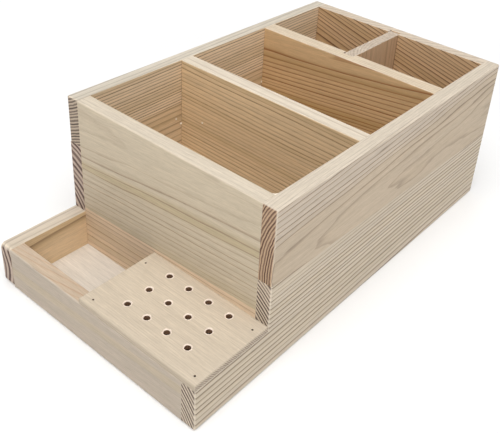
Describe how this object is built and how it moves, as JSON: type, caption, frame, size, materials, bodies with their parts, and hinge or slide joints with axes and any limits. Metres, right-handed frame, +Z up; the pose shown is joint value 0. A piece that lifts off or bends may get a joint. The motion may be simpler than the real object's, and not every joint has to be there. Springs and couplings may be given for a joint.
{
  "type": "tool storage caddy",
  "caption": "Bench caddy for hobby tools: tall pine box with deep bays and a lift-out divider behind a low front tray with a perforated tool plate.",
  "frame": {"origin": "centre of the underside", "axes": "+X to the right, +Y from the tray towards the back, +Z up"},
  "size_m": [0.18, 0.33, 0.12],
  "materials": {
    "pine_side": "sanded bare pine, long grain along the box",
    "pine_board": "sanded bare pine, long grain across the box",
    "pine_divider": "bare pine, upright grain with a rough-sawn end",
    "thin_board": "fine pale sanded wood, faint straight grain",
    "panel_ply": "thin pale plywood, smooth",
    "brad_steel": "dull darkened wire"
  },
  "bodies": {
    "caddy": {"left_side_lower_stave": "pine_side", "left_side_upper_stave": "pine_side", "right_side_lower_stave": "pine_side", "right_side_upper_stave": "pine_side", "tray_front_board": "pine_board", "tall_front_lower_stave": "pine_board", "tall_front_upper_stave": "pine_board", "front_divider": "pine_board", "rear_divider": "pine_board", "back_board": "pine_board", "tray_divider": "pine_divider", "bottom_panel": "panel_ply", "tool_plate": "thin_board", "plate_brads": "brad_steel", "bottom_panel_brads": "brad_steel"},
    "divider": {"lift_out_divider": "pine_divider"}
  },
  "joints": [
    {"name": "divider_lift", "type": "slide", "parent": "caddy", "child": "divider", "axis": [0, 0, 1], "range_m": [0, 0.125]}
  ]
}
